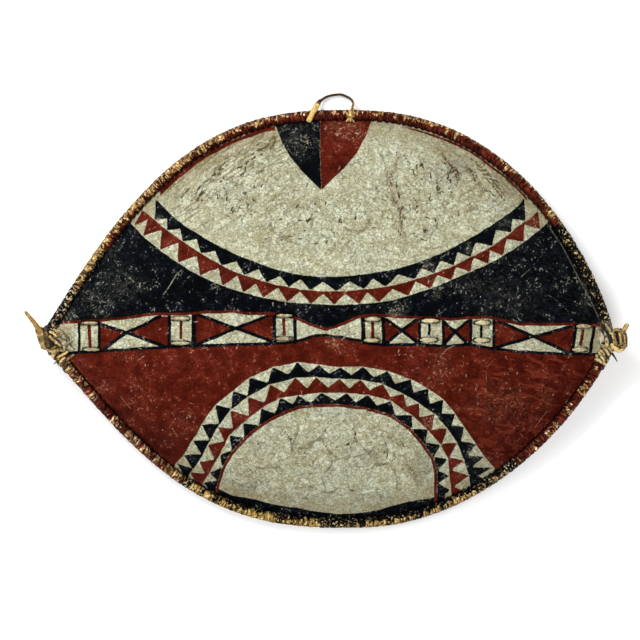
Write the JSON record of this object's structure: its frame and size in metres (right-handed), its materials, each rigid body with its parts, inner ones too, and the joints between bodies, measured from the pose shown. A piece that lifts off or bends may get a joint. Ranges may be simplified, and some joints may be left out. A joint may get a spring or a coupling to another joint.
{
  "type": "hide shield",
  "caption": "Lens-shaped domed hide shield with a laced rim, painted bands, a bent wooden stave and handgrip behind, and a hanging loop.",
  "frame": {"origin": "middle of the shield's length and width without the hanging loop, on the plane the rim rests on", "axes": "+X along the long axis to the end with the rounder shoulders, +Y across towards the side with the hanging loop, +Z out of the painted domed face"},
  "size_m": [0.9391, 0.6768, 0.1292],
  "materials": {
    "painted_hide": "stiff rawhide, painted by hand in dark red, black and cream, worn",
    "rim_rawhide": "rawhide strip whipped over the edge, painted dark red and black, rubbed to tan on the outside",
    "stave_wood": "carved hardwood stave, hand-polished",
    "rawhide_thong": "dry twisted rawhide thong"
  },
  "bodies": {
    "root": {"hide": "painted_hide", "rim_lacing": "rim_rawhide", "stave": "stave_wood", "lashing_1": "rawhide_thong", "lashing_2": "rawhide_thong", "lashing_3": "rawhide_thong", "lashing_4": "rawhide_thong", "lashing_5": "rawhide_thong", "lashing_6": "rawhide_thong", "lashing_7": "rawhide_thong", "tip_binding_left": "rawhide_thong", "tip_binding_right": "rawhide_thong", "hanging_loop": "rawhide_thong"}
  },
  "joints": []
}
